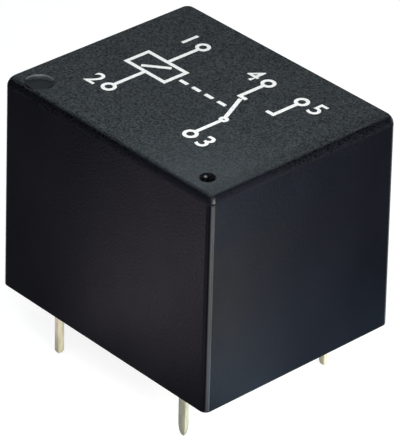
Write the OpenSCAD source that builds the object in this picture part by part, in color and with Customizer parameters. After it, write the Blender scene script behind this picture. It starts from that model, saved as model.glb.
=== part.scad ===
// Sealed power relay for a printed circuit board, with one changeover contact.
// X runs along the case from the coil end to the contact end, Y across it and Z up.
// The origin is the middle of the seating plane, where the case meets the board.
// The armature is drawn released: the moving contact rests on the upper, normally closed contact.

/* [Case] */
// Length of the case at the seating plane
case_l = 19.3; // [17.3:0.1:22]
// Width of the case at the seating plane
case_w = 15.6; // [14:0.1:20]
// Height of the case above the seating plane
case_h = 15.2; // [13.6:0.1:20]
// How far each side leans in between the seating plane and the top
case_draft = 0.16; // [0:0.02:0.3]
// Thickness of the side walls
case_wall = 0.75; // [0.5:0.05:0.9]
// Thickness of the top wall
case_roof = 0.9; // [0.7:0.05:1.2]
// Radius of the upright corners, and width of the rounding along the top edge
edge_r = 0.45; // [0.3:0.05:0.7]
// Height of the rounding along the top edge
edge_h = 0.7; // [0.3:0.05:0.8]

/* [Marks moulded in the top] */
// Radius of the round ejector mark
dimple_r = 0.97; // [0.6:0.01:1.2]
// Depth of the round ejector mark
dimple_depth = 0.2; // [0.1:0.01:0.4]
// Distance of the ejector mark's centre from the coil end of the case
dimple_end_inset = 1.95; // [1.6:0.05:3]
// Distance of the ejector mark's centre from the near side of the case
dimple_side_inset = 1.42; // [1.4:0.02:3]
// Radius of the closed vent
vent_r = 0.41; // [0.25:0.01:0.6]
// Depth of the closed vent
vent_depth = 0.5; // [0.3:0.05:0.6]
// Width of the bevel round the vent
vent_bevel = 0.17; // [0.05:0.01:0.25]
// Distance of the vent's centre from the contact end of the case
vent_end_inset = 2.0; // [1.6:0.05:3]
// Distance of the vent's centre from the near side of the case
vent_side_inset = 1.55; // [1.4:0.05:3]

/* [Pins] */
// Length of every pin below the seating plane
pin_reach = 4.4; // [3:0.05:5]
// Distance of each row of pins from the side of the case
row_inset = 1.8; // [1.6:0.05:2.2]
// Distance of the coil pins from the coil end of the case
coil_pin_inset = 3.55; // [3.3:0.05:3.9]
// Distance of the contact pins from the contact end of the case
contact_pin_inset = 3.85; // [3.5:0.05:4.2]
// Size of a coil pin along the case
coil_pin_l = 0.4; // [0.3:0.02:0.6]
// Size of a coil pin across the case
coil_pin_w = 0.5; // [0.3:0.02:0.6]
// Width of a contact pin, along the case
contact_pin_l = 0.66; // [0.5:0.02:1]
// Width of the common pin, across the case
common_pin_w = 0.9; // [0.6:0.05:1.4]

/* [Contact terminals] */
// Thickness of the fixed contacts' strip
strip_t = 0.32; // [0.25:0.01:0.4]
// Width of the fixed contacts' strip
strip_w = 3.0; // [2.6:0.1:3.4]
// Thickness of the common terminal's strip
common_t = 0.4; // [0.3:0.02:0.5]
// Radius of the contact buttons
button_r = 1.3; // [1:0.05:1.45]
// Height of a fixed contact's button
button_h = 0.5; // [0.3:0.05:0.6]
// Height of each of the moving contact's two buttons
moving_h = 0.45; // [0.3:0.05:0.5]
// Radius of the dome on a fixed contact's button
dome_r = 6.0; // [5:0.5:12]

/* [Magnet] */
// Thickness of the yoke's plate
yoke_t = 1.2; // [0.9:0.05:1.4]
// Radius of the rounded top edge that the armature rocks on
hinge_r = 0.3; // [0.2:0.02:0.4]
// Radius of the iron core
core_r = 1.8; // [1.4:0.05:2.2]
// Radius of the core's pole head
pole_r = 3.2; // [2.6:0.05:3.6]
// Thickness of the pole head
pole_t = 0.7; // [0.5:0.05:0.9]
// Thickness of the armature
armature_t = 1.0; // [0.8:0.05:1.2]
// How far the armature stands open when the coil is off, in degrees
open_angle = 3.0; // [2:0.1:4]
// Thickness of the bobbin's flanges
flange_t = 0.7; // [0.6:0.05:0.9]
// Wall of the bobbin's tube
tube_wall = 0.45; // [0.35:0.05:0.7]

/* [Contact spring] */
// Thickness of the spring strip
spring_t = 0.15; // [0.1:0.01:0.2]
// Width of the spring over the armature
spring_w = 6.0; // [5:0.1:7]
// Width of the spring at the moving contact
spring_tip_w = 3.2; // [2.8:0.1:3.8]
// Angle by which the spring leaves the yoke before it turns over the armature
spring_flare = 30; // [20:1:35]

/* [Base] */
// Thickness of the base plate
base_t = 1.4; // [1:0.1:1.8]
// Height of the base plate's underside above the seating plane
base_z = 1.0; // [0.8:0.05:1.3]
// Gap between the seating plane and the resin
resin_recess = 0.3; // [0.1:0.05:0.5]
// Thickness of the wall between coil and contacts
barrier_t = 0.7; // [0.5:0.05:0.9]

/* [Hidden] */
$fn = 48;
// Gap between pieces that are fitted together
fit_gap = 0.03;
// Gap between pieces that only lie side by side
side_gap = 0.1;
// Gap between the pieces of the coil side and those of the contact side
creep_gap = 0.3;
// Gap left where the armature and the contacts close on each other
close_gap = 0.02;
// Overrun of a cut past the face that it opens
cut = 1;
// Lap of a strip's straight run into the bends before and after it
strip_lap = 0.1;
// How much thinner a bend is drawn, so that its faces don't run on in those of the straight runs
bend_relief = 0.002;

// Case
inner_r = 0.25;
plate_corner_r = inner_r + side_gap;
roof_z = case_h - case_roof;
// Half the length and half the width inside the case at height z
function inner_half_l(z) = case_l / 2 - case_draft * z / case_h - case_wall;
function inner_half_w(z) = case_w / 2 - case_draft * z / case_h - case_wall;
// Room inside at the top, where the sides are closest
room_l = inner_half_l(case_h);
room_w = inner_half_w(case_h);
dimple_x = dimple_end_inset - case_l / 2;
dimple_y = dimple_side_inset - case_w / 2;
// Radius of the arc that runs from the ejector mark's flat floor up to its rim
dimple_arc = 0.45;
dimple_floor_r = dimple_r - sqrt(dimple_arc ^ 2 - (dimple_arc - dimple_depth) ^ 2);
vent_x = case_l / 2 - vent_end_inset;
vent_y = vent_side_inset - case_w / 2;
vent_nib_r = vent_r * 0.6;

// Heights from the base upwards
base_top = base_z + base_t;
yoke_floor_top = base_top + yoke_t;
window_z0 = yoke_floor_top + flange_t;

// Places along the case
coil_pin_x = coil_pin_inset - case_l / 2;
contact_pin_x = case_l / 2 - contact_pin_inset;
contact_offset = 0.25;
contact_x = contact_pin_x + contact_offset;
row_y = case_w / 2 - row_inset;
// Room behind the yoke for the spring's bend
end_room = 1.0;
yoke_x = end_room - room_l;
yoke_inner_x = yoke_x + yoke_t;
yoke_bend_r = 0.2;
common_x = yoke_x - common_t / 2;
barrier_x = contact_x - strip_w / 2 - creep_gap - barrier_t;
flange_x0 = yoke_inner_x + yoke_bend_r + fit_gap;
flange_x1 = barrier_x - creep_gap;
core_x = (flange_x0 + flange_x1) / 2;
flange_side_gap = 1.0;
flange_w = 2 * (row_y - flange_side_gap);
flange_r = 0.6;
// How far the yoke and the armature stand back from the flange's sides
yoke_step = 0.3;
armature_step = 0.5;
yoke_w = flange_w - 2 * yoke_step;
armature_w = flange_w - 2 * armature_step;
// How far the flanges stand out past the winding
flange_rim = 0.3;
winding_r = min(flange_x1 - flange_x0, flange_w) / 2 - flange_rim;
winding_bevel = 0.25;
tube_r = core_r + fit_gap + tube_wall;
armature_x1 = barrier_x - 2 * creep_gap;
yoke_toe = 1.4;
yoke_floor_x1 = core_x + core_r + yoke_toe;

// Heights from the roof downwards: the upper contact, the armature and the pole
rivet_tail = 0.25;
roof_room = 0.25;
nc_tab_z = roof_z - roof_room - rivet_tail - strip_t;
nc_dome_z = nc_tab_z - button_h;
hinge_x = yoke_x + hinge_r;
// Stack of the armature, spring and upper moving button over the pole face
stack_h = close_gap + armature_t + spring_t + moving_h;
pole_z = nc_dome_z + dome_r + hinge_r
    - (hinge_r + stack_h + dome_r + close_gap + (contact_x - hinge_x) * sin(open_angle)) / cos(open_angle);
hinge_z = pole_z - hinge_r;
armature_z = pole_z + close_gap;
spring_z = armature_z + armature_t;
no_dome_z = spring_z - moving_h - close_gap;
no_tab_z = no_dome_z - button_h - strip_t;
pole_seat = 0.3;
window_z1 = pole_z - pole_t - pole_seat;
flange_top = window_z1 + flange_t;

// Ends of the pins
contact_tip_l = 1.1;
contact_tip_share = 0.4;
coil_tip_l = 0.45;
coil_tip_share = 0.5;
// Fastenings
rivet_r = 0.5;
rivet_head_r = 0.8;
rivet_head_h = 0.3;
rivet_margin = 0.2;
button_shank_r = 0.7;
button_tail_r = 0.95;
spigot_step = 0.4;
spigot_r = core_r - spigot_step;
armature_rivet_back = 0.8;
armature_rivet_x = core_x - armature_rivet_back;
armature_rivet_y = 1.7;
// Common terminal's plate, below the spring's foot on the yoke
common_plate_w = 2.4;
common_rivet_z = yoke_floor_top + rivet_head_r;
common_plate_top = common_rivet_z + rivet_head_r + rivet_margin;
spring_foot_z = common_plate_top + creep_gap;
spring_rivet_z = spring_foot_z + rivet_head_r + rivet_margin;
spring_rivet_y = 1.9;

// Ends of the coil's wire
lug_l = 1.6;
lug_w = 1.4;
lug_h = 0.7;
lug_web = 1.2;
lug_top = window_z0 + lug_h;
stub_l = 1.25;
stub_top = lug_top + stub_l;
solder_r = 0.6;
solder_z = lug_top + solder_r * 0.9;
lead_r = 0.08;
lead_root = 0.3;

// Ears of the yoke and the notches of the armature round them
ear_l = 0.7;
ear_w = 0.8;
ear_h = 0.8;
armature_rear_x = hinge_x - hinge_r / 2;
notch_x = yoke_inner_x + creep_gap;
notch_y = yoke_w / 2 - ear_w - creep_gap;
rear_bevel_l = 0.85;
rear_bevel_h = 0.6;

// Base
tower_margin = 0.4;
tower_h = 3.6;
tower_top = base_top + tower_h;
tower_x1 = min(contact_x + strip_w / 2 + tower_margin, room_l - side_gap);
tower_y = room_w - side_gap;
tower_wall = 0.9;
pillar_y = row_y - strip_t - tower_wall;
pillar_margin = 0.5;

// Tabs of the fixed contacts
tab_bend_r = 0.35;
tab_margin = 0.3;

// Contact spring, from its foot on the yoke to its tip
spring_x = yoke_x - fit_gap - spring_t / 2;
flare_r = 1.5;
flare_l = 0.2;
turn_r = 1.3;
turn_angle = 90 + spring_flare - open_angle;
spring_window_w = 2.2;
spring_window_end = 0.4;
// Lay of the spring on the armature, and of the buttons and rivets on the spring
lay_gap = 0.01;
spring_top = spring_z + lay_gap + spring_t + lay_gap;
// Where the turn ends and the straight arm begins
arm_start_x = spring_x - flare_r * (1 - cos(spring_flare)) - flare_l * sin(spring_flare)
    + turn_r * (cos(spring_flare) - sin(open_angle));
arm_offset = spring_z + lay_gap + spring_t / 2 - hinge_z;
arm_start_z = hinge_z + (arm_offset + (arm_start_x - hinge_x) * sin(open_angle)) / cos(open_angle);
spring_leg_l = arm_start_z - flare_r * sin(spring_flare) - flare_l * cos(spring_flare)
    - turn_r * (cos(open_angle) + sin(spring_flare)) - spring_foot_z;
arm_start_s = (arm_start_x - hinge_x) * cos(open_angle) + (arm_start_z - hinge_z) * sin(open_angle);
arm_l = contact_x - hinge_x + spring_tip_w / 2 - arm_start_s;

// Colours of the finishes
black_plastic = [0.06, 0.06, 0.07];
base_plastic = [0.1, 0.1, 0.11];
bobbin_plastic = [0.88, 0.87, 0.82];
resin = [0.05, 0.05, 0.05];
copper = [0.72, 0.38, 0.2];
spring_bronze = [0.78, 0.55, 0.33];
tinned = [0.76, 0.74, 0.66];
iron = [0.62, 0.63, 0.64];
silver = [0.86, 0.86, 0.84];

// Shared shapes

// Plan outline with round corners
module rounded_rect(l, w, r) {
    square([l - 2 * r, w], center = true);
    square([l, w - 2 * r], center = true);
    for (sx = [-1, 1], sy = [-1, 1])
        translate([sx * (l / 2 - r), sy * (w / 2 - r)]) circle(r);
}

// Half of a ball, flat side down
module half_ball(r) {
    rotate_extrude() intersection() {
        circle(r);
        square(r);
    }
}

// Closed form that leans in by the case's draft, from below the seating plane up to a rounded top.
// Its corners have the radius r, and the rounding of its top edge is h high
module drafted_form(half_l, half_w, top_z, r, h) {
    lean = case_draft / case_h;
    lean_top = lean * (top_z - h);
    hull() for (sx = [-1, 1], sy = [-1, 1]) {
        translate([sx * (half_l + lean * cut - r), sy * (half_w + lean * cut - r), -cut])
            cylinder(r = r, h = cut / 100, $fn = 32);
        translate([sx * (half_l - lean_top - r), sy * (half_w - lean_top - r), top_z - h])
            scale([1, 1, h / r]) half_ball(r, $fn = 32);
    }
}

// Pin that hangs to the pins' common end, with a tip that narrows both ways
module pin(l, w, top_z, tip_l, tip_share) {
    module taper(size) {
        polygon([
            [-size / 2, top_z], [-size / 2, tip_l - pin_reach], [-size / 2 * tip_share, -pin_reach],
            [size / 2 * tip_share, -pin_reach], [size / 2, tip_l - pin_reach], [size / 2, top_z],
        ]);
    }
    intersection() {
        rotate([90, 0, 0]) linear_extrude(w + cut, center = true) taper(l);
        rotate([90, 0, 90]) linear_extrude(l + cut, center = true) taper(w);
    }
}

// Outline of a bent strip, drawn from its start along +X. A step is [length] or [radius, turn to the left]
module bent_strip(steps, t, i = 0) {
    if (i < len(steps)) {
        straight = len(steps[i]) == 1;
        run = steps[i][0];
        turn = straight ? 0 : steps[i][1];
        side = sign(turn);
        // A straight run laps into the bends before and after it, so that they are one piece
        lap_in = i == 0 ? 0 : strip_lap;
        lap_out = i == len(steps) - 1 ? 0 : strip_lap;
        if (straight) {
            translate([-lap_in, -t / 2]) square([lap_in + run + lap_out, t]);
            translate([run, 0]) bent_strip(steps, t, i + 1);
        } else {
            mirror([0, side < 0 ? 1 : 0]) ring_sector(run, t - bend_relief, abs(turn));
            translate([run * sin(abs(turn)), side * run * (1 - cos(turn))]) rotate(turn)
                bent_strip(steps, t, i + 1);
        }
    }
}

// Part of a ring that starts at the origin along +X and turns to the left
module ring_sector(r, t, angle) {
    far = 2 * (r + t);
    translate([0, r]) intersection() {
        difference() {
            circle(r + t / 2);
            circle(r - t / 2);
        }
        polygon([
            [0, 0], [0, -far], far * [sin(angle / 3), -cos(angle / 3)],
            far * [sin(angle * 2 / 3), -cos(angle * 2 / 3)], far * [sin(angle), -cos(angle)],
        ]);
    }
}

// Moves a piece drawn with the armature closed to where it is with the coil off
module released() {
    translate([hinge_x, 0, hinge_z]) rotate([0, -open_angle, 0]) translate([-hinge_x, 0, -hinge_z])
        children();
}

// Headed rivet with its head below z = 0 and its shank going up
module rivet(shank_r, shank_l, head_r, head_h) {
    translate([0, 0, -head_h]) cylinder(r = head_r, h = head_h);
    cylinder(r = shank_r, h = shank_l);
}

// Case

module cover() {
    color(black_plastic) difference() {
        drafted_form(case_l / 2, case_w / 2, case_h, edge_r, edge_h);
        drafted_form(case_l / 2 - case_wall, case_w / 2 - case_wall, roof_z, inner_r, inner_r);
        translate([-case_l, -case_w, -2 * cut]) cube([2 * case_l, 2 * case_w, 2 * cut]);
        ejector_mark();
        vent();
    }
}

// Shallow dish with a flat floor and a side that curves up to the rim
module ejector_mark() {
    translate([dimple_x, dimple_y, case_h - dimple_depth]) rotate_extrude() {
        square([dimple_floor_r, dimple_arc]);
        intersection() {
            translate([dimple_floor_r, dimple_arc]) circle(dimple_arc);
            square([dimple_floor_r + dimple_arc, dimple_arc]);
        }
    }
}

// Closed vent: a bevelled blind hole with a nib left on its floor
module vent() {
    translate([vent_x, vent_y, case_h]) difference() {
        union() {
            translate([0, 0, -vent_depth]) cylinder(r = vent_r, h = vent_depth + cut);
            translate([0, 0, -vent_bevel])
                cylinder(r1 = vent_r, r2 = vent_r + vent_bevel + cut, h = vent_bevel + cut);
        }
        translate([0, 0, -vent_depth]) half_ball(vent_nib_r);
    }
}

// Base

module pin_places(grow) {
    for (sy = [-1, 1]) {
        translate([coil_pin_x, sy * row_y])
            square([coil_pin_l, coil_pin_w] + 2 * [grow, grow], center = true);
        translate([contact_pin_x, sy * row_y])
            square([contact_pin_l, strip_t] + 2 * [grow, grow], center = true);
    }
    translate([common_x, 0]) square([common_t, common_pin_w] + 2 * [grow, grow], center = true);
}

module base() {
    half_l = inner_half_l(base_top) - fit_gap;
    half_w = inner_half_w(base_top) - fit_gap;
    color(base_plastic) difference() {
        union() {
            translate([0, 0, base_z]) linear_extrude(base_t)
                rounded_rect(2 * half_l, 2 * half_w, plate_corner_r);
            // Wall between the coil and the contacts
            translate([barrier_x, -tower_y, base_top])
                cube([barrier_t, 2 * tower_y, window_z1 - base_top]);
            // Pillar under the lower contact
            translate([barrier_x, -pillar_y, base_top])
                cube([tower_x1 - barrier_x, pillar_y + button_r + pillar_margin, no_tab_z - base_top]);
            // Towers that hold the upright strips
            for (sy = [-1, 1]) translate([barrier_x, sy < 0 ? -tower_y : pillar_y, base_top])
                cube([tower_x1 - barrier_x, tower_y - pillar_y, tower_top - base_top]);
        }
        translate([0, 0, base_z - cut]) linear_extrude(base_t + 2 * cut) pin_places(fit_gap);
        for (sy = [-1, 1]) translate([contact_x, sy * row_y, base_top + case_h / 2])
            cube([strip_w + 2 * fit_gap, strip_t + 2 * fit_gap, case_h], center = true);
        translate([contact_x, 0, no_tab_z - rivet_tail - side_gap]) cylinder(r = button_r, h = case_h);
    }
}

module sealing_resin() {
    half_l = inner_half_l(base_z) - fit_gap;
    half_w = inner_half_w(base_z) - fit_gap;
    color(resin) translate([0, 0, resin_recess]) linear_extrude(base_z - resin_recess) difference() {
        rounded_rect(2 * half_l, 2 * half_w, plate_corner_r);
        pin_places(0);
    }
}

// Coil

module bobbin() {
    flange_l = flange_x1 - flange_x0;
    color(bobbin_plastic) difference() {
        union() {
            for (z = [yoke_floor_top, window_z1]) translate([core_x, 0, z])
                linear_extrude(flange_t) rounded_rect(flange_l, flange_w, flange_r);
            translate([core_x, 0, yoke_floor_top]) cylinder(r = tube_r, h = flange_top - yoke_floor_top);
            // Lugs that hold the coil pins, each with a web to the lower flange
            for (sy = [-1, 1]) {
                translate([coil_pin_x - lug_l / 2, sy * row_y - lug_w / 2, base_top])
                    cube([lug_l, lug_w, lug_top - base_top]);
                translate([flange_x0, sy * (flange_w / 2) - lug_web / 2, yoke_floor_top])
                    cube([coil_pin_x + lug_l / 2 - flange_x0, lug_web, flange_t]);
            }
        }
        translate([core_x, 0, yoke_floor_top - cut]) cylinder(r = core_r + fit_gap, h = case_h);
        translate([core_x, 0, pole_z - pole_t]) cylinder(r = pole_r + fit_gap, h = case_h);
        for (sy = [-1, 1]) translate([coil_pin_x, sy * row_y, lug_top])
            cube([coil_pin_l + 2 * fit_gap, coil_pin_w + 2 * fit_gap, case_h], center = true);
    }
}

// Straight end of the wire, from the winding to a coil pin
module lead(sy) {
    dx = coil_pin_x - core_x;
    dy = row_y;
    gap = norm([dx, dy]);
    translate([core_x, 0, solder_z]) rotate(atan2(sy * dy, dx)) rotate([0, 90, 0])
        translate([0, 0, winding_r - lead_root])
            cylinder(r = lead_r, h = gap - winding_r + lead_root - solder_r / 2);
}

module coil_winding() {
    inner = winding_r - winding_bevel;
    color(copper) {
        translate([core_x, 0, 0]) rotate_extrude() polygon([
            [tube_r, window_z0], [inner, window_z0], [winding_r, window_z0 + winding_bevel],
            [winding_r, window_z1 - winding_bevel], [inner, window_z1], [tube_r, window_z1],
        ]);
        for (sy = [-1, 1]) lead(sy);
    }
}

module solder_joints() {
    color(tinned) for (sy = [-1, 1]) difference() {
        translate([coil_pin_x, sy * row_y, solder_z]) sphere(solder_r);
        translate([coil_pin_x, sy * row_y, solder_z])
            cube([coil_pin_l, coil_pin_w, case_h], center = true);
        translate([-case_l, -case_w, 0]) cube([2 * case_l, 2 * case_w, lug_top]);
        lead(sy);
    }
}

module coil_terminal(sy) {
    color(tinned) translate([coil_pin_x, sy * row_y, 0])
        pin(coil_pin_l, coil_pin_w, stub_top, coil_tip_l, coil_tip_share);
}

// Magnet

module core() {
    color(iron) translate([core_x, 0, 0]) {
        translate([0, 0, base_top]) cylinder(r = spigot_r, h = yoke_t + cut);
        translate([0, 0, yoke_floor_top]) cylinder(r = core_r, h = pole_z - yoke_floor_top);
        translate([0, 0, pole_z - pole_t]) cylinder(r = pole_r, h = pole_t);
    }
}

// Side outline of the yoke: an angle with a bent corner and a rounded top edge
module yoke_outline() {
    outer_r = yoke_bend_r + yoke_t;
    rise = pole_z - base_top;
    translate([yoke_x, base_top]) {
        translate([0, outer_r]) square([yoke_t, rise - outer_r - hinge_r]);
        translate([outer_r, 0]) square([yoke_floor_x1 - yoke_x - outer_r, yoke_t]);
        translate([outer_r, outer_r]) rotate(180) intersection() {
            difference() {
                circle(outer_r);
                circle(yoke_bend_r);
            }
            square(2 * outer_r);
        }
        translate([hinge_r, rise - hinge_r]) {
            square([yoke_t - hinge_r, hinge_r]);
            circle(hinge_r);
        }
    }
}

module yoke() {
    color(iron) difference() {
        union() {
            rotate([90, 0, 0]) linear_extrude(yoke_w, center = true) yoke_outline();
            // Ears that keep the armature from sliding
            for (sy = [-1, 1])
                translate([yoke_inner_x - ear_l, sy * (yoke_w - ear_w) / 2 - ear_w / 2, hinge_z])
                    cube([ear_l, ear_w, ear_h + hinge_r]);
        }
        translate([core_x, 0, base_top - cut]) cylinder(r = spigot_r + fit_gap, h = yoke_t + 2 * cut);
        for (y = [-spring_rivet_y, spring_rivet_y]) yoke_hole(y, spring_rivet_z);
        yoke_hole(0, common_rivet_z);
    }
}

module yoke_hole(y, z) {
    translate([yoke_x - cut, y, z]) rotate([0, 90, 0]) cylinder(r = rivet_r + fit_gap, h = yoke_t + 2 * cut);
}

// Moving parts

module armature() {
    color(iron) released() difference() {
        translate([0, 0, armature_z]) rotate([90, 0, 0]) linear_extrude(armature_w, center = true) polygon([
            [armature_rear_x, 0], [armature_x1, 0], [armature_x1, armature_t],
            [armature_rear_x + rear_bevel_l, armature_t], [armature_rear_x, armature_t - rear_bevel_h],
        ]);
        // Notches round the yoke's ears
        for (sy = [-1, 1]) translate([armature_rear_x - cut, sy < 0 ? -armature_w : notch_y, 0])
            cube([notch_x - armature_rear_x + cut, armature_w - notch_y, case_h]);
        armature_rivet_holes(rivet_r + fit_gap);
    }
}

module armature_rivet_holes(r) {
    for (sy = [-1, 1]) translate([armature_rivet_x, sy * armature_rivet_y, 0]) cylinder(r = r, h = case_h);
}

module contact_spring() {
    color(spring_bronze) difference() {
        rotate([90, 0, 0]) linear_extrude(spring_w, center = true)
            translate([spring_x, spring_foot_z]) rotate(90) bent_strip(
                [[spring_leg_l], [flare_r, spring_flare], [flare_l], [turn_r, -turn_angle], [arm_l]], spring_t
            );
        // Window that leaves two hinge legs at the bend
        translate([spring_x - 2 * turn_r, -spring_window_w / 2, spring_foot_z + spring_leg_l])
            cube([2 * turn_r + arm_start_x - spring_x + spring_window_end, spring_window_w, case_h]);
        // Narrow tip past the armature
        for (sy = [-1, 1]) linear_extrude(case_h) polygon([
            [armature_x1, sy * spring_w / 2], [contact_x - button_r, sy * spring_tip_w / 2],
            [case_l, sy * spring_tip_w / 2], [case_l, sy * spring_w], [armature_x1, sy * spring_w],
        ]);
        released() armature_rivet_holes(rivet_r + fit_gap);
        released() translate([contact_x, 0, 0]) cylinder(r = button_shank_r + fit_gap, h = case_h);
        for (y = [-spring_rivet_y, spring_rivet_y]) yoke_hole(y, spring_rivet_z);
    }
}

// Button with faces above and below the spring
module moving_contact() {
    color(silver) released() translate([contact_x, 0, 0]) {
        translate([0, 0, spring_z - moving_h]) cylinder(r = button_r, h = moving_h);
        translate([0, 0, spring_z]) cylinder(r = button_shank_r, h = spring_top - spring_z);
        translate([0, 0, spring_top]) cylinder(r = button_r, h = pole_z + stack_h - spring_top);
    }
}

module armature_rivets() {
    color(iron) released() for (sy = [-1, 1])
        translate([armature_rivet_x, sy * armature_rivet_y, spring_top]) mirror([0, 0, 1])
            rivet(rivet_r, spring_top - armature_z, rivet_head_r, rivet_head_h);
}

module spring_rivets() {
    grip = 2 * fit_gap + spring_t;
    color(iron) for (sy = [-1, 1]) translate([yoke_x - grip, sy * spring_rivet_y, spring_rivet_z])
        rotate([0, 90, 0]) rivet(rivet_r, yoke_t + grip, rivet_head_r, rivet_head_h);
}

// Fixed contacts

// Upright strip with a pin below and a tab turned over towards the middle
module fixed_terminal(sy, tab_z) {
    turn_r = tab_bend_r + strip_t / 2;
    rise = tab_z - tab_bend_r - base_top;
    run = row_y - turn_r + button_r + tab_margin;
    color(tinned) mirror([0, sy > 0 ? 0 : 1, 0]) {
        difference() {
            translate([contact_x, row_y, base_top]) rotate([90, 0, 90]) linear_extrude(strip_w, center = true)
                rotate(90) bent_strip([[rise], [turn_r, 90], [run]], strip_t);
            translate([contact_x, 0, 0]) cylinder(r = button_shank_r + fit_gap, h = case_h);
        }
        translate([contact_pin_x, row_y, 0])
            pin(contact_pin_l, strip_t, base_top + cut, contact_tip_l, contact_tip_share);
    }
}

// Domed button on top of a tab, riveted through it
module fixed_button() {
    color(silver) {
        intersection() {
            cylinder(r = button_r, h = button_h);
            translate([0, 0, button_h - dome_r]) sphere(dome_r, $fn = 96);
        }
        translate([0, 0, -strip_t]) cylinder(r = button_shank_r, h = strip_t);
        translate([0, 0, -strip_t - rivet_tail]) cylinder(r = button_tail_r, h = rivet_tail);
    }
}

module nc_contact() {
    translate([contact_x, 0, nc_tab_z]) mirror([0, 0, 1]) fixed_button();
}

module no_contact() {
    translate([contact_x, 0, no_tab_z + strip_t]) fixed_button();
}

module common_terminal() {
    color(tinned) {
        difference() {
            translate([common_x - common_t / 2, -common_plate_w / 2, base_top])
                cube([common_t, common_plate_w, common_plate_top - base_top]);
            yoke_hole(0, common_rivet_z);
        }
        translate([common_x, 0, 0])
            pin(common_t, common_pin_w, base_top + cut, contact_tip_l, contact_tip_share);
    }
}

module common_rivet() {
    color(iron) translate([yoke_x - common_t, 0, common_rivet_z]) rotate([0, 90, 0])
        rivet(rivet_r, common_t + yoke_t, rivet_head_r, rivet_head_h);
}

cover();
base();
sealing_resin();
bobbin();
coil_winding();
solder_joints();
core();
yoke();
armature();
contact_spring();
spring_rivets();
armature_rivets();
moving_contact();
fixed_terminal(1, nc_tab_z);  // nc_terminal
nc_contact();
fixed_terminal(-1, no_tab_z);  // no_terminal
no_contact();
common_terminal();
common_rivet();
coil_terminal(-1);  // coil_terminal_near
coil_terminal(1);  // coil_terminal_far
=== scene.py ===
# %% [markdown]
# # Dressing a sealed power relay
# The object is a small relay for a circuit board: a black moulded case that stands on five thin pins, with
# a coil, an armature and a changeover contact shut inside. Its solids are packed already, true to size and
# in metres, so everything made here is placed by the same numbers. The lesson models the pieces that are
# seen again, with soft edges and real surfaces, and gives every other piece a finish made of nodes.
# The first cell loads the solids and keeps their box, so that the end of the lesson can print it beside the
# dressed one.

import math

import bmesh
import bpy
from mathutils import Matrix, Vector


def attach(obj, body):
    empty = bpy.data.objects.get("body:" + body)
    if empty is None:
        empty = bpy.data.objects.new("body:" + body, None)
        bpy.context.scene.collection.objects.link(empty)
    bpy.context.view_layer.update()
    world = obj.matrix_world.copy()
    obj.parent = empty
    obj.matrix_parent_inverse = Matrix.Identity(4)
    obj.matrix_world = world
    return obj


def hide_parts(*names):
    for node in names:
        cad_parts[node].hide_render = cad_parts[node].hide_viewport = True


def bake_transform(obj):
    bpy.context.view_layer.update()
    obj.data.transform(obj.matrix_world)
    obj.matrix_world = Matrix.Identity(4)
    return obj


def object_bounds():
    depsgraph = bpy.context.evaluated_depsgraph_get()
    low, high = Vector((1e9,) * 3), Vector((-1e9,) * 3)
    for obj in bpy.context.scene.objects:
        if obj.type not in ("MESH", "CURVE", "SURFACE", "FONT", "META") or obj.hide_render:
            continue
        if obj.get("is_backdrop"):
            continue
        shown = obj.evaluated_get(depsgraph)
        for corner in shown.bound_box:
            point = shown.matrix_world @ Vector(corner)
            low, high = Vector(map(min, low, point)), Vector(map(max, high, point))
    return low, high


mm = 0.001
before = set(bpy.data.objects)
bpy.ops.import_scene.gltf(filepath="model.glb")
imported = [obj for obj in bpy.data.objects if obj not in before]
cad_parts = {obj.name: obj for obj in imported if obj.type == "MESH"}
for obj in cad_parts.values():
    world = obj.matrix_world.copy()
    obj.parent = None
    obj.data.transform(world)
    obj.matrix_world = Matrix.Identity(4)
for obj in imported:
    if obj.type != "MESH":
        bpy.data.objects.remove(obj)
solid_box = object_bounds()
print("solids:", sorted(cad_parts))

# %% [markdown]
# ## Camera
# The photograph looks down on one corner of the case through a long lens, so its edges stay almost
# parallel. A camera could be aimed with a constraint, but the picture is also tilted by a degree and a
# half. So the three directions of the camera are worked out from its bearing, its height and its tilt, and
# put straight into its matrix. The frame is 400 by 440, and the lens is given for its longer side.

# %% Place the camera
bearing, height, tilt = (math.radians(angle) for angle in (47.13, 31.58, 1.52))
aim = Vector((1.821, -1.353, 7.58)) * mm
away = 213.9 * mm
back = Vector((
    math.sin(bearing) * math.cos(height), -math.cos(bearing) * math.cos(height), math.sin(height),
))
level = Vector((math.cos(bearing), math.sin(bearing), 0))
rise = back.cross(level)
side = level * math.cos(tilt) + rise * math.sin(tilt)
upward = rise * math.cos(tilt) - level * math.sin(tilt)
bpy.ops.object.camera_add()
camera = bpy.context.object
camera.name = "camera"
camera.data.lens = 283.4
camera.data.sensor_width = 36
camera.data.clip_start = 0.01
camera.matrix_world = (
    Matrix.Translation(aim + back * away) @ Matrix((side, upward, back)).transposed().to_4x4()
)
bpy.context.scene.camera = camera
print("camera stands at", [round(value / mm, 1) for value in camera.location], "mm")

# %% [markdown]
# ## Floor and background
# The relay stands on its pin tips on a plain pale table. A floor that is only white paint turns grey where
# the light falls off, throws light up at the pins, and more light would bleach the relay too. So the floor
# is pale paint that also glows, but only for what the camera, a mirror or clear glass sees of it. The paint
# still takes the relay's shadow. The world does the same: grey light for the surfaces, white for the eye.

# %% Floor, world and the switch between eye and light
def seen_by_eye(tree):
    """Gives 1 for rays from the camera, from gloss and through glass, and 0 for light on a surface."""
    path = tree.nodes.new("ShaderNodeLightPath")
    last = path.outputs["Is Camera Ray"]
    for kind in ("Is Glossy Ray", "Is Transmission Ray"):
        either = tree.nodes.new("ShaderNodeMath")
        either.operation = "MAXIMUM"
        tree.links.new(last, either.inputs[0])
        tree.links.new(path.outputs[kind], either.inputs[1])
        last = either.outputs[0]
    return last


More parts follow.
